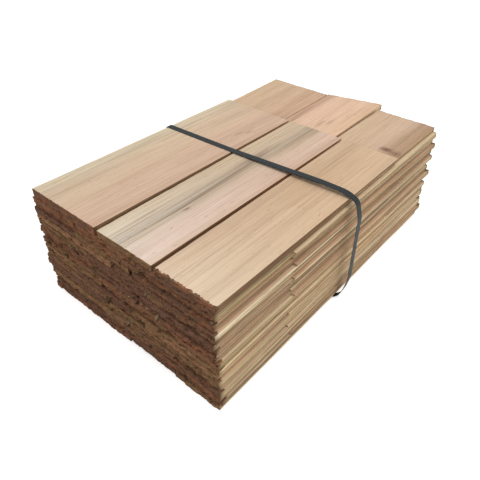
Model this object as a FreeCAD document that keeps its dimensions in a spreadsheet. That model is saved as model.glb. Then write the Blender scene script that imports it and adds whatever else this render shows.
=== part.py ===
import FreeCAD, Part
import math
import os

# A strapped bundle of tapersawn cedar shingles, in millimetres.
# +X runs across the bundle, +Y from the near butts to the far butts, and +Z up.
# The origin is on the floor, below the middle of the bundle's outline.
#
# A bundle is packed in pairs of courses. The lower course of a pair has its butts at the far
# end and lies flat; the upper course has its butts at the near end and lies on the slope of
# the lower one, so that the pair is level on top. The butts of one tier stand out past the
# thin tips of the other.

SIZES = {
    "shingle_length": 457,
    "butt_thickness": 11.43,
    "tip_thickness": 2.6,
    "bundle_width": 384,
    "seat_gap": 0.05,
    "shut_gap": 0.3,
    "close_gap": 1.2,
    "open_gap": 4.5,
    "wide_gap": 9,
    "skew": 24,
    "strap_width": 12,
    "strap_thickness": 0.75,
    "strap_clearance": 0.1,
    "strap_stand_off": 1,
    "strap_place": -12,
    "strap_turn": 2.2,
    "strap_lift": 5.5,
    "strap_bow": 19,
    "lap_inset": 100,
    "lap_length": 46,
}

# One row per course, from the top down: how far the course stands out at its left, where its
# two joints are, how far it stands out at its right, and how far its butts stand out.
# A joint is measured from the middle of the bundle's width. Butts only stand out, never in,
# because a shingle pushed in would ride up on the slope of the one it lies on.
COLUMNS = ("left", "joint_a", "joint_b", "right", "butt")
NEAR_COURSES = (
    (-1, -35, 82, -1, 10),
    (3, -88, 34, -4, 9),
    (10, -70, 48, -6, 8),
    (11, -97, 33, -4, 9),
    (9, -8, 97, 0, 11),
    (10, -72, 60, -2, 10),
    (6, -118, 14, -4, 11),
    (9, -63, 30, -3, 9),
    (9, -58, 79, -2, 11),
    (7, -44, 91, 2, 10),
    (8, -110, 20, 3, 12),
    (8, -36, 43, -1, 11),
    (10, -42, 101, 3, 11),
    (11, 5, 111, 0, 10),
    (9, 2, 67, 5, 10),
    (10, -60, 51, 2, 9),
    (9, -21, 82, 4, 9),
    (10, 1, 101, 0, 9),
)
FAR_COURSES = (
    (-6, -50, 65, -6, 4),
    (4, -20, 88, 1, 12),
    (7, -84, 52, -3, 16),
    (5, -41, 70, 2, 15),
    (8, -99, 12, -1, 12),
    (3, -66, 94, 3, 14),
    (6, -30, 41, -3, 9),
    (7, -92, 72, 0, 12),
    (2, -55, 26, 4, 16),
    (5, -12, 104, -5, 15),
    (7, -78, 60, 2, 12),
    (4, -104, 8, 1, 8),
    (8, -47, 86, 1, 11),
    (6, -16, 57, 3, 7),
    (3, -82, 30, 1, 10),
    (7, -60, 98, 4, 11),
    (5, -28, 46, 1, 7),
    (6, -70, 64, -6, 7),
)
TIERS = {"near": NEAR_COURSES, "far": FAR_COURSES}

# These joints are shut or stand open, and the others are close. A wide joint is a hole between
# two butts.
JOINT_GAPS = {
    "shut_gap": {("far", 1, "a")},
    "open_gap": {("near", 1, "a"), ("near", 1, "b"), ("far", 1, "b")},
    "wide_gap": {
        ("near", 4, "b"), ("near", 5, "a"), ("near", 8, "a"), ("near", 9, "a"),
        ("near", 10, "a"), ("near", 12, "a"), ("near", 12, "b"), ("near", 13, "a"),
        ("near", 14, "a"), ("near", 15, "a"), ("near", 16, "b"),
    },
}

# The shingles of the top pair are seen whole: how much thicker than the rest each one is at
# its butt, and how far its butt stands out past its course.
TOP_SHINGLES = {
    "near": {"left": (3.1, 1), "middle": (0, 0), "right": (-2.1, 0.2)},
    "far": {"left": (-0.6, 4), "middle": (-0.4, 33), "right": (-2.6, 9)},
}
PLACES = ("left", "middle", "right")
COURSE_PAIRS = len(NEAR_COURSES)

# Below the top pair each shingle's butt stands out a little further than its course says, and
# is a little thinner than the rest, by these two patterns.
BUTT_STEPS = (0, 2.3, 0.9, 3.2, 0.4, 1.8, 3.6, 1.3, 2.7, 0.7, 2.5)
BUTT_THINNING = (0.1, 1.0, 0, 0.5, 1.5, 0.2, 0, 0.8, 0.1, 1.2, 0.3, 0, 0.6)

PAIR_HEIGHT = "(Sizes.butt_thickness + 2 * Sizes.seat_gap)"
TAPER = "((Sizes.butt_thickness - Sizes.tip_thickness) / Sizes.shingle_length)"
# Butts stand out past the other tier's tips by this much when a pair packs level.
STAND_OUT = f"(Sizes.tip_thickness / {TAPER})"
HALF_LENGTH = f"((Sizes.shingle_length + {STAND_OUT}) / 2)"
HALF_WIDTH = "(Sizes.bundle_width / 2)"


def fill_sizes_sheet(doc):
    sheet = doc.addObject("Spreadsheet::Sheet", "Sizes")
    for row, (name, value) in enumerate(SIZES.items(), start=1):
        sheet.set(f"A{row}", name)
        sheet.set(f"B{row}", str(value))
        sheet.setAlias(f"B{row}", name)
    return sheet


def fill_courses_sheet(doc):
    sheet = doc.addObject("Spreadsheet::Sheet", "Courses")
    row = 1
    for tier, courses in TIERS.items():
        for number, course in enumerate(courses, start=1):
            sheet.set(f"A{row}", f"{tier} course {number}")
            for letter, column, value in zip("BCDEF", COLUMNS, course):
                sheet.set(f"{letter}{row}", str(value))
                sheet.setAlias(f"{letter}{row}", f"{tier}_{number}_{column}")
            row += 1
    return sheet


def side_expressions(tier, number, place):
    """Where the left and right sides of one shingle of a course are."""
    course = f"Courses.{tier}_{number}"
    half_gap = {}
    for joint in ("a", "b"):
        kinds = [kind for kind, joints in JOINT_GAPS.items() if (tier, number, joint) in joints]
        half_gap[joint] = f"Sizes.{kinds[0] if kinds else 'close_gap'} / 2"
    edges = {
        "left": (f"-{HALF_WIDTH} - {course}_left", f"{course}_joint_a - {half_gap['a']}"),
        "middle": (f"{course}_joint_a + {half_gap['a']}", f"{course}_joint_b - {half_gap['b']}"),
        "right": (f"{course}_joint_b + {half_gap['b']}", f"{HALF_WIDTH} + {course}_right"),
    }
    return edges[place]


def add_shingle(doc, tier, number, place, extra, step):
    """One tapersawn shingle, in its place in the bundle."""
    shingle = doc.addObject("Part::Wedge", f"{tier}_{number}_{place}")
    low, high = side_expressions(tier, number, place)
    for name in ("Xmin", "X2min"):
        shingle.setExpression(name, low)
    for name in ("Xmax", "X2max"):
        shingle.setExpression(name, high)
    shingle.setExpression("Ymin", "0")
    shingle.setExpression("Ymax", "Sizes.shingle_length")
    base = f"({COURSE_PAIRS - number} * {PAIR_HEIGHT})"
    butt = f"Courses.{tier}_{number}_butt + {step}"
    if tier == "near":
        shingle.setExpression("Zmin", "0")
        shingle.setExpression("Zmax", f"Sizes.butt_thickness + {extra}")
        shingle.setExpression("Z2min", "Sizes.butt_thickness - Sizes.tip_thickness")
        shingle.setExpression("Z2max", "Sizes.butt_thickness")
        start = f"-{HALF_LENGTH} - ({butt})"
        level = f"{base} + Sizes.seat_gap"
    else:
        shingle.setExpression("Zmin", "0")
        shingle.setExpression("Zmax", "Sizes.tip_thickness")
        shingle.setExpression("Z2min", "0")
        shingle.setExpression("Z2max", f"Sizes.butt_thickness + {extra}")
        start = f"{HALF_LENGTH} - Sizes.shingle_length + {butt}"
        level = base
    shingle.setExpression("Placement.Base.y", start)
    shingle.setExpression("Placement.Base.z", level)
    return shingle


def saw_askew(doc, shingle, step):
    """Takes a thin wedge off the butt of the top far middle shingle, which was sawn out of square."""
    low, high = side_expressions("far", 1, "middle")
    left_corner = f"{HALF_LENGTH} + Courses.far_1_butt + {step} - Sizes.skew"
    below = f"{COURSE_PAIRS - 1} * {PAIR_HEIGHT} - Sizes.butt_thickness"
    offcut = doc.addObject("Part::Box", "skew_offcut")
    offcut.setExpression("Length", "Sizes.bundle_width")
    offcut.setExpression("Width", "Sizes.bundle_width")
    offcut.setExpression("Height", "4 * Sizes.butt_thickness")
    offcut.setExpression("Placement.Rotation.Angle", f"atan(Sizes.skew / ({high} - ({low})))")
    offcut.setExpression("Placement.Base.x", low)
    offcut.setExpression("Placement.Base.y", left_corner)
    offcut.setExpression("Placement.Base.z", below)
    sawn = doc.addObject("Part::Cut", "skew_sawn")
    sawn.Base = shingle
    sawn.Tool = offcut
    return sawn


def add_course(doc, tier, number):
    """The shingles of one hidden or edge-on course, side by side and clear of each other."""
    shingles = []
    for order, place in enumerate(PLACES):
        turn = len(PLACES) * number + order
        step = BUTT_STEPS[turn % len(BUTT_STEPS)]
        extra = -BUTT_THINNING[turn % len(BUTT_THINNING)]
        shingles.append(add_shingle(doc, tier, number, place, extra, step))
    course = doc.addObject("Part::Compound", f"{tier}_course_{number:02d}_solids")
    course.Links = shingles
    return course


def top_at_strap(sizes):
    """The height of the thick top left shingle where the strap crosses it."""
    taper = (sizes.butt_thickness - sizes.tip_thickness) / sizes.shingle_length
    length = sizes.shingle_length + sizes.tip_thickness / taper
    butt = NEAR_COURSES[0][-1] + TOP_SHINGLES["near"]["left"][1]
    from_butt = length / 2 + butt + sizes.strap_place - sizes.strap_width
    extra = TOP_SHINGLES["near"]["left"][0] * (1 - from_butt / sizes.shingle_length)
    return COURSE_PAIRS * (sizes.butt_thickness + 2 * sizes.seat_gap) - sizes.seat_gap + extra


def strap_route(sizes):
    """Points (x, z, bend radius) of the strap's inner face, from the upper end of its lap."""
    half = sizes.bundle_width / 2
    top = top_at_strap(sizes) + sizes.strap_clearance
    under = sizes.strap_clearance + sizes.strap_thickness
    bow = half + sizes.strap_bow
    lift = sizes.strap_lift
    layer = sizes.strap_thickness + sizes.strap_clearance
    lap_start = half - sizes.lap_inset
    lap_end = lap_start + sizes.lap_length
    widest = max(course[0] for courses in TIERS.values() for course in courses)
    left = -half - widest - sizes.strap_stand_off
    left_top = -half - NEAR_COURSES[0][0] - 0.8 * sizes.strap_stand_off
    shoulder = 2.1 * sizes.butt_thickness
    return (
        (lap_start, top + 0.8 * lift, 0),
        (lap_end, top + lift, 300),
        (half - 8, top + 0.8 * lift, 60),
        (half + 0.6 * sizes.strap_bow, top - 4, 16),
        (bow, top - 32, 40),
        (bow, 0.25 * top, 60),
        (half + 0.7 * sizes.strap_bow, 27, 30),
        (half + 0.4 * sizes.strap_bow, 11, 18),
        (half - 2, under, 10),
        (left, under, 0.5),
        (left, top - shoulder, 20),
        (left_top, top, 0.5),
        (NEAR_COURSES[0][1] - sizes.open_gap, top, 300),
        (lap_start / 2, top + 0.45 * lift, 300),
        (lap_start, top + 0.8 * lift - layer, 300),
        (lap_end, top + lift - layer, 0),
    )


def bent_wire(route):
    """Straight runs joined by tangent arcs, in the XZ plane."""
    points = [FreeCAD.Vector(x, 0, z) for x, z, _ in route]
    start = points[0]
    edges = []
    for before, corner, after, (_, _, radius) in zip(points, points[1:], points[2:], route[1:]):
        back = (before - corner).normalize()
        ahead = (after - corner).normalize()
        half_turn = (math.pi - back.getAngle(ahead)) / 2
        reach = radius * math.tan(half_turn)
        to_middle = radius / math.cos(half_turn) - radius
        arc_start = corner + back * reach
        arc_end = corner + ahead * reach
        arc_middle = corner + (back + ahead).normalize() * to_middle
        edges.append(Part.LineSegment(start, arc_start).toShape())
        edges.append(Part.Arc(arc_start, arc_middle, arc_end).toShape())
        start = arc_end
    edges.append(Part.LineSegment(start, points[-1]).toShape())
    return Part.Wire(edges)


def lay_along_strap(obj):
    """Turns a piece that follows the strap's line a little off square, and sets it in place."""
    obj.setExpression("Placement.Rotation.Angle", "Sizes.strap_turn")
    obj.setExpression("Placement.Base.y", "Sizes.strap_place")


def add_strap(doc, sizes):
    """One strip of strapping, bent round the bundle and lapped over its own end on top."""
    route = doc.addObject("Part::Feature", "strap_route")
    route.Shape = bent_wire(strap_route(sizes))
    strip = doc.addObject("Part::Offset2D", "strap_section")
    strip.Source = route
    strip.setExpression("Value", "Sizes.strap_thickness")
    strip.Fill = True
    strip.Mode = "Skin"
    strip.Join = "Arc"
    strap = doc.addObject("Part::Extrusion", "strap_strip")
    strap.Base = strip
    strap.DirMode = "Custom"
    strap.Dir = FreeCAD.Vector(0, 1, 0)
    strap.setExpression("LengthFwd", "Sizes.strap_width")
    strap.Symmetric = True
    strap.Solid = True
    lay_along_strap(strap)
    return strap


def add_strap_bite(doc):
    """The shallow channel that the strap presses into the wood that the bundle stands on."""
    channel = doc.addObject("Part::Box", "strap_bite")
    channel.setExpression("Length", "2 * Sizes.bundle_width")
    channel.setExpression("Width", "Sizes.strap_width + 4 * Sizes.strap_clearance")
    channel.setExpression("Height", "2 * (Sizes.strap_thickness + 2 * Sizes.strap_clearance)")
    across = doc.addObject("Part::Compound", "strap_bite_across")
    across.Links = [channel]
    channel.setExpression("Placement.Base.x", "-Sizes.bundle_width")
    channel.setExpression("Placement.Base.y", "-(Sizes.strap_width / 2 + 2 * Sizes.strap_clearance)")
    channel.setExpression("Placement.Base.z", "-(Sizes.strap_thickness + 2 * Sizes.strap_clearance)")
    lay_along_strap(across)
    return across


def add_bitten_course(doc, course):
    bitten = doc.addObject("Part::Cut", "bottom_course_bitten")
    bitten.Base = course
    bitten.Tool = add_strap_bite(doc)
    return bitten


def add_node(doc, label, solids):
    """A named piece of the bundle, moved so that the origin is below the middle of the outline."""
    node = doc.addObject("Part::Compound", f"node_{label}")
    node.Label = label
    node.Links = [solids]
    node.setExpression("Placement.Base.x", "-Middle.across")
    node.setExpression("Placement.Base.y", "-Middle.along")
    return node


def build(doc):
    sizes = fill_sizes_sheet(doc)
    fill_courses_sheet(doc)
    middle = doc.addObject("Spreadsheet::Sheet", "Middle")
    for row, name in enumerate(("across", "along"), start=1):
        middle.set(f"B{row}", "0")
        middle.setAlias(f"B{row}", name)
    doc.recompute()

    nodes = []
    for tier in TIERS:
        for place in PLACES:
            extra, step = TOP_SHINGLES[tier][place]
            shingle = add_shingle(doc, tier, 1, place, extra, step)
            if (tier, place) == ("far", "middle"):
                shingle = saw_askew(doc, shingle, step)
            nodes.append(add_node(doc, f"top_{tier}_shingle_{place}", shingle))
        for number in range(2, COURSE_PAIRS + 1):
            course = add_course(doc, tier, number)
            if tier == "far" and number == COURSE_PAIRS:
                course = add_bitten_course(doc, course)
            nodes.append(add_node(doc, f"{tier}_course_{number:02d}", course))
    nodes.append(add_node(doc, "strap", add_strap(doc, sizes)))
    doc.recompute()

    outline = FreeCAD.BoundBox()
    for node in nodes:
        outline.add(node.Shape.BoundBox)
    middle.set("B1", f"{outline.Center.x:.6f}")
    middle.set("B2", f"{outline.Center.y:.6f}")
    doc.recompute()
    return nodes


def check(doc, nodes):
    for obj in doc.Objects:
        if "Invalid" in obj.State or "Error" in obj.State:
            raise RuntimeError(f"{obj.Name} did not compute: {obj.State}")
    for node in nodes:
        if node.Shape.isNull() or not node.Shape.isValid() or not node.Shape.Solids:
            raise RuntimeError(f"{node.Label} has no valid shape")
        if any(solid.Volume <= 0 for solid in node.Shape.Solids):
            raise RuntimeError(f"{node.Label} has an empty solid")


def main():
    doc = FreeCAD.newDocument("shingle_bundle")
    nodes = build(doc)
    check(doc, nodes)
    os.makedirs("parts", exist_ok=True)
    for node in nodes:
        node.Shape.exportStep(f"parts/{node.Label}.step")
    outline = FreeCAD.BoundBox()
    for node in nodes:
        outline.add(node.Shape.BoundBox)
    volume = sum(node.Shape.Volume for node in nodes)
    print(f"{len(nodes)} nodes, {outline.XLength:.1f} x {outline.YLength:.1f} x {outline.ZLength:.1f} mm")
    print(f"{sum(len(node.Shape.Solids) for node in nodes)} solids, {volume / 1e9:.4f} cubic metres")


main()
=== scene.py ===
import math
import random

import bmesh
import bpy
from bpy.props import FloatProperty, FloatVectorProperty, IntProperty, PointerProperty
from mathutils import Matrix, Vector, noise


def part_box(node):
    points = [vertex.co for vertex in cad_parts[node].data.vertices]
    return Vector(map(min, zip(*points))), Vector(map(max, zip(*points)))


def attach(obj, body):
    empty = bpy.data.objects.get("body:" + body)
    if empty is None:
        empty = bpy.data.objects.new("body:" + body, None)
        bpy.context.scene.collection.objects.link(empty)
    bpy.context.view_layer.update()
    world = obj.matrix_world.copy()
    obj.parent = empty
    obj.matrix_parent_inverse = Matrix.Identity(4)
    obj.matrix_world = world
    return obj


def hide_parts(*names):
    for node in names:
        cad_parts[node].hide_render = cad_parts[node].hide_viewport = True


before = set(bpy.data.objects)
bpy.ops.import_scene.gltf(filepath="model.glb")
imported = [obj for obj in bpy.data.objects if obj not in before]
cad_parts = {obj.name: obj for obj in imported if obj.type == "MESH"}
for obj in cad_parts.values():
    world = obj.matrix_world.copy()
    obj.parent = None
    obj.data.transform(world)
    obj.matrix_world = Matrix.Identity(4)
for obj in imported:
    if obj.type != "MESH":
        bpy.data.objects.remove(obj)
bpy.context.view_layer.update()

bl_info = {
    "name": "Cedar shingle bundle",
    "version": (1, 0, 0),
    "blender": (4, 5, 0),
    "location": "3D View > Sidebar > Shingles",
    "description": "Dresses a strapped bundle of tapersawn cedar shingles",
    "category": "Object",
}

MM = 0.001
BODY = "root"
PLACES = ("left", "middle", "right")
COURSES = sorted(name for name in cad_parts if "_course_" in name)


def linear(hex_colour):
    """An sRGB hex value as the linear colour that a shader takes."""
    channels = [int(hex_colour[i : i + 2], 16) / 255 for i in (0, 2, 4)]
    return tuple(c / 12.92 if c <= 0.04045 else ((c + 0.055) / 1.055) ** 2.4 for c in channels)


def rgba(colour):
    return (*colour, 1)


# ---------------------------------------------------------------- settings


def colour_prop(name, hex_colour, description):
    return FloatVectorProperty(
        name=name, subtype="COLOR", size=3, min=0, max=1,
        default=linear(hex_colour), description=description,
    )


def length_prop(name, millimetres, description):
    return FloatProperty(
        name=name, subtype="DISTANCE", unit="LENGTH", min=0,
        default=millimetres * MM, description=description,
    )


class CedarSettings(bpy.types.PropertyGroup):
    streak: colour_prop("Streak", "92806c", "Grey-brown streaks in a face")
    stain: colour_prop("Stain", "6e4a3a", "Short dark fibres and stains in a face")
    butt_brown: colour_prop("Butt", "82614a", "Rough end grain")
    # The darkest brown of the torn end grain, which its deepest pits take: the wood's own dark with
    # painted shade.
    butt_dark_and_pit_shade: colour_prop("Torn butt", "2a1c15", "Deep torn end grain")
    butt_tan: colour_prop("Fresh butt", "b48f70", "Freshly broken end grain")
    arris: length_prop("Arris", 0.6, "How far a sawn corner is worn or chipped back")
    tear: length_prop("Tear", 3.4, "How deep the saw tears the butts")
    seed: IntProperty(name="Seed", default=11, description="Picks the wood of the lower courses")


class StrapSettings(bpy.types.PropertyGroup):
    plastic: colour_prop("Plastic", "24292b", "The strapping's colour")
    emboss: length_prop("Emboss pitch", 1.6, "Spacing of the rolled diamond pattern")


class StudioSettings(bpy.types.PropertyGroup):
    azimuth: FloatProperty(
        name="Azimuth", subtype="ANGLE", default=math.radians(40.57),
        description="The camera's bearing, from the near end towards the right side",
    )
    elevation: FloatProperty(
        name="Elevation", subtype="ANGLE", default=math.radians(38.48),
        description="The camera's height above the horizon",
    )
    distance: length_prop("Distance", 846, "From the camera to what it looks at")
    lens: FloatProperty(name="Lens", default=37.87, description="Focal length in millimetres")
    floor: colour_prop("Floor", "f4f4f2", "The studio floor")
    sky: FloatProperty(name="Sky", default=0.69, description="Strength of the even light all round")
    lamp: FloatProperty(name="Lamp", default=17, unit="POWER", description="The soft overhead lamp")


# ---------------------------------------------------------------- node trees

MIXED = {"data_type": "RGBA"}
MULTIPLIED = {"data_type": "RGBA", "blend_type": "MULTIPLY"}


def set_stops(colour_ramp, stops):
    """Gives a colour ramp these (position, linear colour) stops."""
    elements = colour_ramp.elements
    while len(elements) > 1:
        elements.remove(elements[-1])
    elements[0].position, elements[0].color = stops[0][0], rgba(stops[0][1])
    for position, colour in stops[1:]:
        elements.new(position).color = rgba(colour)


def add_node(tree, kind, settings=None, inputs=None):
    """Adds a shader node with its settings, its inputs set or linked, and gives its outputs.

    The setting "stops" is a colour ramp's.
    """
    made = tree.nodes.new(kind)
    for name, value in (settings or {}).items():
        if name == "stops":
            set_stops(made.color_ramp, value)
        else:
            setattr(made, name, value)
    for socket, value in (inputs or {}).items():
        if isinstance(value, bpy.types.NodeSocket):
            tree.links.new(value, made.inputs[socket])
        else:
            made.inputs[socket].default_value = value
    return made.outputs


def grey(level):
    return (level, level, level)


def new_material(name):
    material = bpy.data.materials.new(name)
    material.use_nodes = True
    tree = material.node_tree
    tree.nodes.clear()
    return material, tree


def finish_material(tree, colour, roughness, heights, bump_depth, specular):
    """A Principled surface. Its bumps are the sum of some heights, of this depth in metres."""
    height = heights[0]
    for other in heights[1:]:
        height = add_node(tree, "ShaderNodeMath", {"operation": "ADD"}, {0: height, 1: other})["Value"]
    normal = add_node(
        tree, "ShaderNodeBump",
        inputs={"Strength": 1.0, "Distance": bump_depth, "Height": height},
    )["Normal"]
    surface = add_node(
        tree, "ShaderNodeBsdfPrincipled",
        inputs={
            "Base Color": colour, "Roughness": roughness, "Normal": normal, "Specular IOR Level": specular,
        },
    )["BSDF"]
    add_node(tree, "ShaderNodeOutputMaterial", inputs={"Surface": surface})


def grain_noise(tree, across, along, detail=2.0, distortion=0.0, up=None):
    """Noise that follows the fibres: its grain is this many millimetres across, along and up.

    It is as high as it is wide, unless up says otherwise.
    """
    place = add_node(tree, "ShaderNodeAttribute", {"attribute_name": "grain"})["Vector"]
    scaled = add_node(
        tree, "ShaderNodeVectorMath", {"operation": "MULTIPLY"},
        {0: place, 1: [1 / (size * MM) for size in (across, along, up or across)]},
    )["Vector"]
    return add_node(
        tree, "ShaderNodeTexNoise",
        inputs={"Vector": scaled, "Scale": 1.0, "Detail": detail, "Distortion": distortion},
    )["Fac"]


def shade_by(tree, colour, pattern, stops, amount=1.0):
    """Multiplies a colour by the shade that a pattern picks from some stops."""
    shade = add_node(tree, "ShaderNodeValToRGB", {"stops": stops}, {"Fac": pattern})["Color"]
    return add_node(tree, "ShaderNodeMix", MULTIPLIED, {0: amount, 6: colour, 7: shade})[2]


def shingle_marks(tree):
    """What shape_shingle marks on a shingle: its streaks, the distance from its butt, its fray."""
    marks = add_node(tree, "ShaderNodeAttribute", {"attribute_name": "marks"})["Vector"]
    return add_node(tree, "ShaderNodeSeparateXYZ", inputs={"Vector": marks})


# ---------------------------------------------------------------- materials


def torn_cedar_colour(cedar, tree):
    """Torn end grain: dark brown, with splinters that lie flat and ridges that stand up, and painted shade
    in its deepest pits.

    Gives its colour, and how far a place stands up, from 0 to 1.
    """
    level = grain_noise(tree, 9, math.inf, 3, up=1.7)
    ridges = grain_noise(tree, 2.0, math.inf, 3, up=7)
    pits = grain_noise(tree, 1.5, math.inf, 2, up=1.8)
    blotches = grain_noise(tree, 24, math.inf, 2, up=9)
    for pattern, weight in ((ridges, 0.7), (pits, 0.5)):
        level = add_node(
            tree, "ShaderNodeMath", {"operation": "MULTIPLY_ADD"}, {0: pattern, 1: weight, 2: level},
        )["Value"]
    level = add_node(
        tree, "ShaderNodeMapRange", inputs={"Value": level, "From Min": 0.76, "From Max": 1.44},
    )["Result"]
    # The colour follows how far a place stands up: the deepest pits take the darkest brown, painted shade
    # on the end grain's own dark brown, and the highest ridges take the pale fresh wood.
    brown = [
        (0.12, cedar.butt_dark_and_pit_shade), (0.45, cedar.butt_brown), (0.72, cedar.butt_brown), (1.0, cedar.butt_tan),
    ]
    colour = add_node(tree, "ShaderNodeValToRGB", {"stops": brown}, {"Fac": level})["Color"]
    shift = add_node(tree, "ShaderNodeMath", {"operation": "SUBTRACT"}, {0: blotches, 1: 0.5})["Value"]
    tone = add_node(tree, "ShaderNodeAttribute", {"attribute_name": "tone"})["Fac"]
    tone = add_node(tree, "ShaderNodeMath", {"operation": "ADD"}, {0: tone, 1: shift})["Value"]
    colour = shade_by(
        tree, colour, tone,
        [
            (0.0, (0.80, 0.72, 0.78)), (0.25, (0.72, 0.68, 0.66)), (0.42, (1.18, 0.92, 0.80)),
            (0.6, (0.92, 0.90, 0.84)), (0.78, (0.96, 1.0, 0.82)), (1.0, (1.42, 1.34, 1.2)),
        ],
    )
    return colour, level


def resawn_cedar_face(cedar):
    """Western red cedar, resawn on a band saw: bands of cream and pink wood, fine fibres, no gloss."""
    material, tree = new_material("resawn_cedar_face")
    streaks, from_butt, fray = shingle_marks(tree)
    drift = grain_noise(tree, 26, 340, 2)
    wavy = grain_noise(tree, 5, 240, 3, 0.6)
    fine_streaks = grain_noise(tree, 1.6, 150, 2, 0.3)
    fibre = grain_noise(tree, 1.3, 38, 3)
    dashes = grain_noise(tree, 1.6, 13, 1)
    colour = add_node(tree, "ShaderNodeAttribute", {"attribute_name": "wood"})["Color"]
    colour = shade_by(
        tree, colour, drift, [(0.3, (0.92, 0.90, 0.88)), (0.5, grey(1.0)), (0.7, (1.05, 1.05, 1.04))],
    )
    for pattern, low, high, most, blend_type, shade in (
        (wavy, 0.44, 0.70, streaks, "MIX", cedar.streak),
        (fine_streaks, 0.48, 0.72, 0.5, "MULTIPLY", (0.70, 0.58, 0.48)),
    ):
        streak_here = add_node(
            tree, "ShaderNodeMapRange",
            inputs={"Value": pattern, "From Min": low, "From Max": high, "To Max": most},
        )["Result"]
        colour = add_node(
            tree, "ShaderNodeMix", {"data_type": "RGBA", "blend_type": blend_type},
            {0: streak_here, 6: colour, 7: rgba(shade)},
        )[2]
    colour = shade_by(tree, colour, fibre, [(0.25, grey(0.90)), (0.5, grey(0.99)), (0.75, grey(1.03))])
    colour = shade_by(tree, colour, dashes, [(0.22, (0.70, 0.58, 0.50)), (0.33, grey(1.0))], 0.8)
    stained = add_node(tree, "ShaderNodeAttribute", {"attribute_name": "stain"})["Fac"]
    colour = add_node(tree, "ShaderNodeMix", MIXED, {0: stained, 6: colour, 7: rgba(cedar.stain)})[2]
    # The torn end grain's colour, with the painted shade in its pits, runs onto the face where the butt is
    # frayed.
    frayed, _ = torn_cedar_colour(cedar, tree)
    teeth = add_node(
        tree, "ShaderNodeMapRange",
        inputs={"Value": grain_noise(tree, 4.2, 34, 2), "From Min": 0.1, "From Max": 0.75, "To Max": fray},
    )["Result"]
    past_teeth = add_node(tree, "ShaderNodeMath", {"operation": "ADD"}, {0: teeth, 1: 0.5 * MM})["Value"]
    whole = add_node(
        tree, "ShaderNodeMapRange",
        inputs={"Value": from_butt, "From Min": teeth, "From Max": past_teeth},
    )["Result"]
    colour = add_node(tree, "ShaderNodeMix", MIXED, {0: whole, 6: frayed, 7: colour})[2]
    roughness = add_node(
        tree, "ShaderNodeMapRange",
        inputs={"Value": wavy, "From Min": 0.3, "From Max": 0.7, "To Min": 0.74, "To Max": 0.88},
    )["Result"]
    finish_material(tree, colour, roughness, (fibre, dashes), 0.22 * MM, specular=0.25)
    return material


def sawn_cedar_edge(cedar):
    """Cedar cut along the fibres on its side: thin pale and brown rings run its whole length."""
    material, tree = new_material("sawn_cedar_edge")
    _, from_butt, _ = shingle_marks(tree)
    rings = grain_noise(tree, 1.7, 620, 3, 0.15)
    late_wood = grain_noise(tree, 0.9, 380, 1)
    broad = grain_noise(tree, 8, 230, 2)
    fibre = grain_noise(tree, 1.1, 22, 2)
    soiled = add_node(
        tree, "ShaderNodeMapRange", inputs={"Value": from_butt, "From Max": 9 * MM},
    )["Result"]
    colour = add_node(tree, "ShaderNodeAttribute", {"attribute_name": "side"})["Color"]
    for pattern, stops, amount in (
        (
            rings,
            [
                (0.28, (0.36, 0.30, 0.24)), (0.42, (0.72, 0.68, 0.62)), (0.5, grey(1.0)),
                (0.60, (1.30, 1.28, 1.20)), (0.72, (1.5, 1.46, 1.36)),
            ],
            1.0,
        ),
        (late_wood, [(0.3, (0.58, 0.50, 0.42)), (0.42, grey(1.0))], 0.8),
        (broad, [(0.32, (0.84, 0.80, 0.74)), (0.5, grey(1.0)), (0.68, (1.10, 1.06, 1.0))], 1.0),
        (fibre, [(0.3, grey(0.80)), (0.55, grey(1.03))], 1.0),
        (soiled, [(0.0, (0.34, 0.27, 0.22)), (1.0, grey(1.0))], 1.0),
    ):
        colour = shade_by(tree, colour, pattern, stops, amount)
    roughness = add_node(
        tree, "ShaderNodeMapRange",
        inputs={"Value": rings, "From Min": 0.3, "From Max": 0.7, "To Min": 0.92, "To Max": 0.80},
    )["Result"]
    finish_material(tree, colour, roughness, (rings, fibre), 0.4 * MM, specular=0.2)
    return material


def torn_cedar_butt(cedar):
    """Cedar cross-cut by a coarse saw: dark, open end grain, torn and splintered, with painted shade in
    its pits.
    """
    material, tree = new_material("torn_cedar_butt")
    colour, level = torn_cedar_colour(cedar, tree)
    roughness = add_node(
        tree, "ShaderNodeMapRange",
        inputs={"Value": level, "From Min": 0.2, "From Max": 0.8, "To Min": 0.95, "To Max": 0.86},
    )["Result"]
    finish_material(tree, colour, roughness, (level,), 1.3 * MM, specular=0.1)
    return material


def embossed_polypropylene(strap):
    """Polypropylene strapping, rolled with fine diamonds: a soft broken sheen."""
    material, tree = new_material("embossed_polypropylene")
    place = add_node(tree, "ShaderNodeTexCoord")["Object"]
    eighth_turn = math.radians(45)
    turned = add_node(
        tree, "ShaderNodeMapping", {"vector_type": "POINT"},
        {"Vector": place, "Rotation": (0, eighth_turn, eighth_turn)},
    )["Vector"]
    bumps = add_node(
        tree, "ShaderNodeTexVoronoi", {"distance": "CHEBYCHEV"},
        {"Vector": turned, "Scale": 1 / strap.emboss, "Randomness": 0.15},
    )["Distance"]
    scuffs = add_node(
        tree, "ShaderNodeTexNoise", inputs={"Vector": place, "Scale": 1 / (14 * MM), "Detail": 4.0},
    )["Fac"]
    scuffed = add_node(
        tree, "ShaderNodeMapRange", inputs={"Value": scuffs, "From Min": 0.45, "From Max": 0.75},
    )["Result"]
    paler = tuple(1.5 * c for c in strap.plastic)
    colour = add_node(
        tree, "ShaderNodeMix", MIXED, {0: scuffed, 6: rgba(strap.plastic), 7: rgba(paler)},
    )[2]
    roughness = add_node(
        tree, "ShaderNodeMapRange",
        inputs={"Value": scuffs, "From Min": 0.3, "From Max": 0.7, "To Min": 0.46, "To Max": 0.62},
    )["Result"]
    finish_material(tree, colour, roughness, (bumps,), 0.08 * MM, specular=0.2)
    return material


# ---------------------------------------------------------------- shingles

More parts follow.
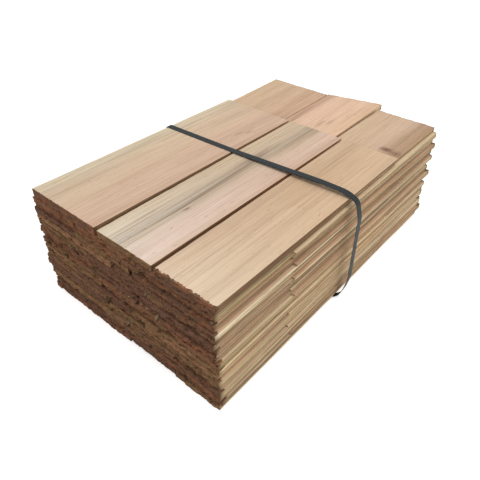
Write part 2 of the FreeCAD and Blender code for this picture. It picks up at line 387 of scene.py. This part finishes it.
# The mesh of a shingle is finer near its sides and its ends: how far in, and its spacing there.
SIDE_FINE = (2 * MM, 1 * MM)
END_FINE = (6 * MM, 1.5 * MM)
# Where the layers of its mesh lie, from its underside to its top.
THROUGH = (0, 0.1, 0.36, 0.64, 0.9, 1)
# Spacing of the rest of its mesh across and along it, where it is seen whole and where only its
# sides and ends are seen.
WHOLE_PITCH = (2.5 * MM, 6 * MM)
EDGE_PITCH = (2.5 * MM, 28 * MM)
# The noise of each shingle in a piece starts this much further on.
NEXT_SHINGLE = 13.7
# Two points of the CAD's mesh that are this near are at one place.
SAME_PLACE = 1e-5
FACE_SLOT, EDGE_SLOT, BUTT_SLOT = 0, 1, 2


def shingle_solids(node):
    """Each shingle of a CAD node: its sides, where its ends are at each side, and their heights."""
    bm = bmesh.new()
    bm.from_mesh(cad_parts[node].data)
    bmesh.ops.remove_doubles(bm, verts=bm.verts, dist=1e-6)
    waiting = set(bm.verts)
    solids = []
    while waiting:
        island = [waiting.pop()]
        for vert in island:
            near = {edge.other_vert(vert) for edge in vert.link_edges} & waiting
            waiting -= near
            island.extend(near)
        points = [vert.co.copy() for vert in island]
        xs = (min(p.x for p in points), max(p.x for p in points))
        ys = (min(p.y for p in points), max(p.y for p in points))
        starts = [min(p.y for p in points if abs(p.x - x) < SAME_PLACE) for x in xs]
        ends = [max(p.y for p in points if abs(p.x - x) < SAME_PLACE) for x in xs]
        heights = []
        for y in ys:
            at_end = [p.z for p in points if abs(p.y - y) < SAME_PLACE]
            heights.append((min(at_end), max(at_end)))
        solids.append((xs, ys, starts, ends, heights))
    bm.free()
    return sorted(solids)


def steps(length, pitch, fine, fine_pitch):
    """Places from 0 to 1 along a length, with a fine stretch at both ends."""
    places = [i * fine_pitch / length for i in range(round(fine / fine_pitch) + 1)]
    middle = max(2, round((length - 2 * fine) / pitch))
    span = 1 - 2 * places[-1]
    inner = [places[-1] + span * i / middle for i in range(1, middle)]
    return places + inner + [1 - p for p in reversed(places)]


def blend(low, high, share):
    return low + (high - low) * share


def interpolate(stops, place):
    """Reads a list of (place, value) at a place, where a value is a number or a colour."""
    place = min(max(place, stops[0][0]), stops[-1][0])
    for (start, low), (end, high) in zip(stops, stops[1:]):
        if place <= end:
            share = (place - start) / (end - start)
            if isinstance(low, tuple):
                return tuple(blend(a, b, share) for a, b in zip(low, high))
            return blend(low, high, share)


def rough(x, z, seed, across, up):
    """Noise from 0 to 1 whose bumps are about this wide and high, in metres."""
    return min(max(0.5 + 0.85 * noise.noise(Vector((x / across, z / up, seed))), 0), 1)


def wander_at(y, seed):
    """How far the bands of a shingle have wandered sideways, as a share of its width."""
    slow = noise.noise(Vector((y / (190 * MM), seed, 0)))
    quick = noise.noise(Vector((y / (50 * MM), seed, 7)))
    return 0.05 * slow + 0.02 * quick


def torn_depth(x, z, seed, tear):
    """How far a butt is torn in at one place: splinters, saw teeth and a few broken pockets."""
    depth = 0.45 * rough(x, z, seed, 13 * MM, 2.6 * MM)
    depth += 0.35 * rough(x, z, seed + 3, 4 * MM, 5 * MM)
    depth += 0.20 * rough(x, z, seed + 6, 2.4 * MM, 2 * MM)
    pocket = max(0, rough(x, z, seed + 9, 15 * MM, 7 * MM) - 0.72) / 0.28
    return tear * (1.4 * max(0, depth - 0.3) + 1.8 * pocket)


def stain_at(wood, across, from_butt):
    """How dark the stains of a shingle are at a place, from 0 to 1."""
    darkness = 0
    for x, y, half_width, half_length, strength in wood.get("stains", ()):
        away = math.hypot((across / MM - x) / half_width, (from_butt / MM - y) / half_length)
        darkness = max(darkness, strength * max(0, 1 - away ** 2))
    return darkness


def cover(mesh, verts, last):
    """Adds the faces of one shingle between its vertices, which are numbered along x, y and z."""
    for first, second, fixed, slot in ((0, 1, 2, FACE_SLOT), (1, 2, 0, EDGE_SLOT), (2, 0, 1, BUTT_SLOT)):
        for at in (0, last[fixed]):
            for a in range(last[first]):
                for b in range(last[second]):
                    corners = []
                    for step_a, step_b in ((0, 0), (1, 0), (1, 1), (0, 1)):
                        index = [0, 0, 0]
                        index[first] = a + step_a
                        index[second] = b + step_b
                        index[fixed] = at
                        corners.append(verts[tuple(index)])
                    if at == 0:
                        corners.reverse()
                    face = mesh.faces.new(corners)
                    face.material_index = slot
                    face.smooth = True


def shape_shingle(mesh, solid, butt_near, wood, cedar, pitch, seed):
    """Adds one shingle to a bmesh: a tapered board with chipped corners and torn ends."""
    (x0, x1), (y0, y1), starts, ends, (near_z, far_z) = solid
    across = steps(x1 - x0, pitch[0], *SIDE_FINE)
    along = steps(y1 - y0, pitch[1], *END_FINE)
    last = (len(across) - 1, len(along) - 1, len(THROUGH) - 1)
    layers = mesh.verts.layers
    grain = layers.float_vector["grain"]
    colours = (layers.float_color["wood"], layers.float_color["side"])
    marks = layers.float_vector["marks"]
    tone, stain = layers.float["tone"], layers.float["stain"]
    arris, tear = cedar.arris * wood["wear"], cedar.tear * wood["wear"]
    verts = {}
    for i, u in enumerate(across):
        start, end = blend(*starts, u), blend(*ends, u)
        for j, v in enumerate(along):
            for k, w in enumerate(THROUGH):
                if 0 < i < last[0] and 0 < j < last[1] and 0 < k < last[2]:
                    continue
                x, y = blend(x0, x1, u), blend(start, end, v)
                place = (y - y0) / (y1 - y0)
                low, high = blend(near_z[0], far_z[0], place), blend(near_z[1], far_z[1], place)
                thick = high - low
                z = blend(low, high, w)
                point = Vector((x, y, z))
                from_butt = y - start if butt_near else end - y
                chip = arris * (0.3 + 1.3 * rough(y, 0, seed + 3 * (i > 0), 15 * MM, 1) ** 2)
                if i in (0, last[0]):
                    inward = wood["wear"] * MM * rough(y, z, seed + i, 50 * MM, 6 * MM)
                    if k in (0, last[2]):
                        inward += chip
                    point.x += inward if i == 0 else -inward
                if k in (0, last[2]):
                    sink = 0.12 * MM * rough(x, y, seed, 23 * MM, 70 * MM)
                    if i in (0, last[0]):
                        sink += min(chip, 0.3 * thick)
                    notch = rough(x, 0, seed + 5 + k, 5 * MM, 1) ** 3
                    reach = (1.5 + 8.0 * notch) * MM
                    sink += 0.6 * tear * notch * max(0, 1 - from_butt / reach)
                    if j in (0, last[1]) and (j == 0) != butt_near:
                        sink += 0.15 * thick
                    point.z += sink if k == 0 else -sink
                if j in (0, last[1]):
                    if (j == 0) == butt_near:
                        inward = torn_depth(x, z, seed, tear)
                    else:
                        inward = 1.0 * MM + 2.5 * MM * rough(x, 0, seed + 7, 14 * MM, 1)
                    point.y += inward if j == 0 else -inward
                vert = mesh.verts.new(point)
                over = u + wander_at(y, seed)
                face = zip(interpolate(wood["bands"], over), interpolate(wood["tint"], place))
                vert[grain] = tuple(c + s for c, s in zip((x, y, z), wood["shift"]))
                vert[colours[0]] = rgba(tuple(band * tint for band, tint in face))
                vert[colours[1]] = rgba(interpolate(wood["side"], place))
                vert[marks] = (interpolate(wood["streaks"], over), from_butt, wood["fray"])
                vert[tone] = wood["tone"]
                vert[stain] = stain_at(wood, x - x0, from_butt)
                verts[i, j, k] = vert
    cover(mesh, verts, last)


# ---------------------------------------------------------------- woods


def hues(*pairs):
    """(place, sRGB hex colour) pairs as (place, linear colour)."""
    return [(place, linear(colour)) for place, colour in pairs]


# The lower courses are seen edge on. Each of their shingles takes a face and a side at random.
FACE_WOODS = ("d9bea0", "e2cbaa", "cfab8c", "dcbb9c")
SIDE_WOODS = (
    "b5a07e", "c4b08c", "9f8a6e", "d6c6a4", "b0967a", "e4d6b8", "ab9974", "b99d7c", "987e63", "cdb792",
)

# A shingle has no tint along its length and little wear, unless its own wood says otherwise.
PLAIN = {"tint": [(0, grey(1)), (1, grey(1))], "wear": 0.35}


def random_wood(rng):
    """The wood of a shingle that is seen edge on."""
    face = linear(rng.choice(FACE_WOODS))
    side, far_side = linear(rng.choice(SIDE_WOODS)), linear(rng.choice(SIDE_WOODS))
    return {
        "bands": [(0, face), (1, face)],
        "side": [(0, side), (1, tuple(blend(a, b, 0.45) for a, b in zip(side, far_side)))],
        "streaks": [(0, rng.uniform(0, 0.5)), (1, rng.uniform(0, 0.5))],
        "fray": rng.uniform(9, 17) * MM,
        "tone": rng.uniform(0, 1),
        **PLAIN,
        "wear": 1,
        "shift": [rng.uniform(0, 5) for _ in range(3)],
    }


# The shingles that are seen whole. Bands and streaks run across each, from its left side to its
# right, and its side wood along it. A stain is given by where it is, in millimetres from the left
# side and from the butt, by half its width and half its length, and by how dark it is.
TOP_WOOD = {
    "top_near_shingle_left": {
        "bands": hues((0, "dccdb1"), (0.1, "ddccb0"), (0.24, "d8c0a4"), (0.5, "d6bba0"), (0.75, "d6b69e"),
                      (1, "d4b59c")),
        "side": hues((0, "8f7055"), (0.5, "8a6c55"), (1, "9c7c60")),
        "streaks": [(0, 0.1), (0.12, 0.5), (0.2, 0.35), (0.4, 0.1), (1, 0.15)],
        "stains": ((128, 366, 3, 12, 0.35), (118, 350, 4, 14, 0.25)),
        "fray": 2.0 * MM,
        "tone": 0.28,
    },
    "top_near_shingle_middle": {
        "bands": hues((0, "d9c8ae"), (0.14, "e1d3bc"), (0.26, "dccdb8"), (0.38, "c9bdae"), (0.5, "cdbca8"),
                      (0.6, "e3d0c0"), (0.78, "e5cfc1"), (0.92, "e1cbbb"), (1, "ddc5b0")),
        "tint": hues((0, "ffffff"), (0.25, "f8f3ee"), (0.6, "f4ebe2"), (1, "f4eae0")),
        "side": hues((0, "9a775c"), (0.3, "8a664c"), (1, "8f6c52")),
        "streaks": [(0, 0.45), (0.1, 0.35), (0.25, 0.5), (0.36, 0.95), (0.5, 0.9), (0.58, 0.25), (1, 0.1)],
        "stains": ((58, 118, 3, 6, 0.9), (40, 300, 6, 40, 0.3)),
        "fray": 1.2 * MM,
        "tone": 0.8,
    },
    "top_near_shingle_right": {
        "bands": hues((0, "d8bfa5"), (0.2, "ddc5aa"), (0.5, "e1caaf"), (0.8, "e0c9ae"), (1, "ddc6ab")),
        "tint": hues((0, "ffffff"), (0.28, "f5efe9"), (0.6, "f3e9de"), (1, "f5ebe2")),
        "side": hues((0, "9c7d60"), (0.3, "8f6f54"), (0.6, "a08264"), (1, "ab8e6e")),
        "streaks": [(0, 0.35), (0.3, 0.3), (0.7, 0.15), (1, 0.1)],
        "fray": 5.5 * MM,
        "tone": 0.3,
    },
    "top_far_shingle_left": {
        "bands": hues((0, "d6b898"), (0.4, "d8ba9b"), (0.8, "d7b498"), (1, "cfab8e")),
        "side": hues((0, "a88b6c"), (1, "a88b6c")),
        "streaks": [(0, 0.15), (0.6, 0.2), (0.9, 0.5), (1, 0.8)],
        "fray": 2 * MM,
        "tone": 0.5,
    },
    "top_far_shingle_middle": {
        "bands": hues((0, "cea88d"), (0.1, "d2ad93"), (0.2, "e7c3a9"), (0.5, "e4c1a5"), (0.8, "e9c6a8"),
                      (1, "e7c3a3")),
        "side": hues((0, "c4a281"), (0.6, "d6b795"), (1, "dcc09f")),
        "streaks": [(0, 0.8), (0.12, 0.5), (0.2, 0.1), (0.6, 0.3), (1, 0.15)],
        "stains": (
            (8, 110, 3, 60, 0.35), (14, 150, 3, 45, 0.3), (62, 140, 3, 24, 0.45), (74, 125, 3, 18, 0.4),
        ),
        "fray": 2 * MM,
        "tone": 0.6,
    },
    "top_far_shingle_right": {
        "bands": hues((0, "d3b698"), (0.3, "d3b79a"), (0.55, "d4b79d"), (0.68, "cdb097"), (0.78, "bb9c80"),
                      (1, "b69579")),
        "side": hues((0, "a58868"), (1, "b89c78")),
        "streaks": [(0, 0.1), (0.6, 0.15), (0.75, 0.4), (1, 0.35)],
        # Two dark patches lie across it at the cross joint with the near shingles.
        "stains": ((90, 136, 15, 9, 0.9), (108, 139, 14, 10, 0.6)),
        "fray": 2 * MM,
        "tone": 0.5,
    },
}


# ---------------------------------------------------------------- pieces


def cedar_materials(cedar):
    """The three cedar finishes in the order of their slots, made once and shared by every shingle."""
    names = ("resawn_cedar_face", "sawn_cedar_edge", "torn_cedar_butt")
    makers = (resawn_cedar_face, sawn_cedar_edge, torn_cedar_butt)
    return [bpy.data.materials.get(name) or make(cedar) for name, make in zip(names, makers)]


def make_piece(node, woods, cedar, pitch, seed):
    """One piece for a CAD node: its shingles, each shaped from the node's own solid."""
    bm = bmesh.new()
    layers = bm.verts.layers
    for name in ("grain", "marks"):
        layers.float_vector.new(name)
    for name in ("wood", "side"):
        layers.float_color.new(name)
    for name in ("tone", "stain"):
        layers.float.new(name)
    for index, (solid, wood) in enumerate(zip(shingle_solids(node), woods)):
        shape_shingle(bm, solid, "near" in node, wood, cedar, pitch, seed + NEXT_SHINGLE * index)
    mesh = bpy.data.meshes.new(f"{node}_cedar")
    bm.normal_update()
    bm.to_mesh(mesh)
    bm.free()
    mesh.set_sharp_from_angle(angle=math.radians(38))
    piece = bpy.data.objects.new(f"{node}_cedar", mesh)
    bpy.context.scene.collection.objects.link(piece)
    for material in cedar_materials(cedar):
        mesh.materials.append(material)
    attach(piece, BODY)
    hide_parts(node)
    return piece


class MakeTopShingles(bpy.types.Operator):
    """Makes the shingles that are seen whole, on top of the bundle"""

    bl_idname = "shingles.make_top"
    bl_label = "Top shingles"

    def execute(self, context):
        cedar = context.scene.cedar
        rng = random.Random(cedar.seed)
        for number, (node, wood) in enumerate(TOP_WOOD.items()):
            shift = [rng.uniform(0, 5) for _ in range(3)]
            seed = 7.3 * number + 1.1
            make_piece(node, [{**PLAIN, **wood, "shift": shift}], cedar, WHOLE_PITCH, seed)
        return {"FINISHED"}


class MakeCourses(bpy.types.Operator):
    """Makes the courses below, which are seen edge on"""

    bl_idname = "shingles.make_courses"
    bl_label = "Courses"

    def execute(self, context):
        cedar = context.scene.cedar
        for number, node in enumerate(COURSES):
            rng = random.Random(cedar.seed + number)
            woods = [random_wood(rng) for _ in PLACES]
            seed = 3.1 * number + 50
            make_piece(node, woods, cedar, EDGE_PITCH, seed)
        return {"FINISHED"}


class FinishStrap(bpy.types.Operator):
    """Gives the strap its embossed plastic"""

    bl_idname = "shingles.finish_strap"
    bl_label = "Strap"

    def execute(self, context):
        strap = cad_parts["strap"]
        plastic = embossed_polypropylene(context.scene.strap)
        if not strap.material_slots:
            strap.data.materials.append(None)
        for slot in strap.material_slots:
            slot.link = "OBJECT"
            slot.material = plastic
        return {"FINISHED"}


# ---------------------------------------------------------------- studio

WHITE = (1, 1, 1, 1)
FLOOR_REACH = 6.0
FLOOR_GLOW = 0.5
LAMP_SIZE = 1.6
# Where the lamp hangs, from what the camera looks at.
LAMP_PLACE = Vector((0.7, -0.2, 1.9))
# What the camera looks at, from the near left corner of the bundle's top, down on the floor.
CAMERA_AIM = Vector((238, 213.5, 104)) * MM


def seen_directly(tree):
    """1 for camera, mirror and glass rays, and 0 for the light that falls on other things."""
    path = add_node(tree, "ShaderNodeLightPath")
    seen = path["Is Camera Ray"]
    for ray in ("Is Glossy Ray", "Is Transmission Ray"):
        seen = add_node(tree, "ShaderNodeMath", {"operation": "MAXIMUM"}, {0: seen, 1: path[ray]})["Value"]
    return seen


def make_floor(studio):
    """A matt pale floor, which glows a little to the camera so that it reads as white."""
    mesh = bpy.data.meshes.new("studio_floor")
    reach = FLOOR_REACH
    corners = [(-reach, -reach, 0), (reach, -reach, 0), (reach, reach, 0), (-reach, reach, 0)]
    mesh.from_pydata(corners, [], [(0, 1, 2, 3)])
    floor = bpy.data.objects.new("studio_floor", mesh)
    bpy.context.scene.collection.objects.link(floor)
    material, tree = new_material("painted_studio_floor")
    paint = add_node(
        tree, "ShaderNodeBsdfPrincipled",
        inputs={"Base Color": rgba(studio.floor), "Roughness": 0.9, "Specular IOR Level": 0.1},
    )["BSDF"]
    glow = add_node(tree, "ShaderNodeEmission", inputs={"Color": WHITE, "Strength": FLOOR_GLOW})[0]
    lit = add_node(tree, "ShaderNodeAddShader", inputs={0: paint, 1: glow})[0]
    shader = add_node(tree, "ShaderNodeMixShader", inputs={0: seen_directly(tree), 1: paint, 2: lit})[0]
    add_node(tree, "ShaderNodeOutputMaterial", inputs={"Surface": shader})
    mesh.materials.append(material)


def make_sky(studio):
    """An even pale light all round, which the camera sees as white."""
    world = bpy.data.worlds.new("studio_sky")
    world.use_nodes = True
    tree = world.node_tree
    tree.nodes.clear()
    dim = add_node(tree, "ShaderNodeBackground", inputs={"Color": WHITE, "Strength": studio.sky})[0]
    white = add_node(tree, "ShaderNodeBackground", inputs={"Color": WHITE, "Strength": 1.0})[0]
    sky = add_node(tree, "ShaderNodeMixShader", inputs={0: seen_directly(tree), 1: dim, 2: white})[0]
    add_node(tree, "ShaderNodeOutputWorld", inputs={"Surface": sky})
    bpy.context.scene.world = world


def aim(obj, place, target):
    """Puts an object at a place, with its -Z axis towards a target."""
    turn = (target - place).to_track_quat("-Z", "Y")
    obj.matrix_world = Matrix.Translation(place) @ turn.to_matrix().to_4x4()


def make_lamp(studio, target):
    """A broad soft lamp overhead, a little to the right."""
    light = bpy.data.lights.new("overhead_softbox", "AREA")
    light.shape = "DISK"
    light.size = LAMP_SIZE
    light.energy = studio.lamp
    lamp = bpy.data.objects.new("overhead_softbox", light)
    bpy.context.scene.collection.objects.link(lamp)
    aim(lamp, target + LAMP_PLACE, target)


def make_camera(studio):
    """A camera that sees the top, the near butts and the right side. Gives what it looks at."""
    low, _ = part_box("top_near_shingle_left")
    target = Vector((low[0], low[1], 0)) + CAMERA_AIM
    level = math.cos(studio.elevation)
    back = Vector((
        math.sin(studio.azimuth) * level, -math.cos(studio.azimuth) * level, math.sin(studio.elevation),
    ))
    data = bpy.data.cameras.new("camera")
    data.sensor_width = 36
    data.lens = studio.lens
    camera = bpy.data.objects.new("camera", data)
    bpy.context.scene.collection.objects.link(camera)
    aim(camera, target + studio.distance * back, target)
    bpy.context.scene.camera = camera
    return target


class SetStage(bpy.types.Operator):
    """Sets up the floor, the light and the camera"""

    bl_idname = "shingles.set_stage"
    bl_label = "Stage"

    def execute(self, context):
        studio = context.scene.studio
        context.scene.view_settings.view_transform = "Standard"
        make_floor(studio)
        make_sky(studio)
        make_lamp(studio, make_camera(studio))
        return {"FINISHED"}


# ---------------------------------------------------------------- add-on

SETTINGS = {"cedar": CedarSettings, "strap": StrapSettings, "studio": StudioSettings}
OPERATORS = (MakeTopShingles, MakeCourses, FinishStrap, SetStage)


class ShinglesPanel(bpy.types.Panel):
    """Lists the pieces and their settings"""

    bl_idname = "VIEW3D_PT_shingles"
    bl_label = "Shingles"
    bl_space_type = "VIEW_3D"
    bl_region_type = "UI"
    bl_category = "Shingles"

    def draw(self, context):
        for operator in OPERATORS:
            self.layout.operator(operator.bl_idname)
        for group, settings in SETTINGS.items():
            for name in settings.__annotations__:
                self.layout.prop(getattr(context.scene, group), name)


def register():
    for cls in (*SETTINGS.values(), *OPERATORS, ShinglesPanel):
        bpy.utils.register_class(cls)
    for group, settings in SETTINGS.items():
        setattr(bpy.types.Scene, group, PointerProperty(type=settings))


def unregister():
    for group in SETTINGS:
        delattr(bpy.types.Scene, group)
    for cls in reversed((*SETTINGS.values(), *OPERATORS, ShinglesPanel)):
        bpy.utils.unregister_class(cls)


def main():
    register()
    bpy.ops.shingles.set_stage()
    bpy.ops.shingles.make_top()
    bpy.ops.shingles.make_courses()
    bpy.ops.shingles.finish_strap()


if __name__ == "__main__":
    main()
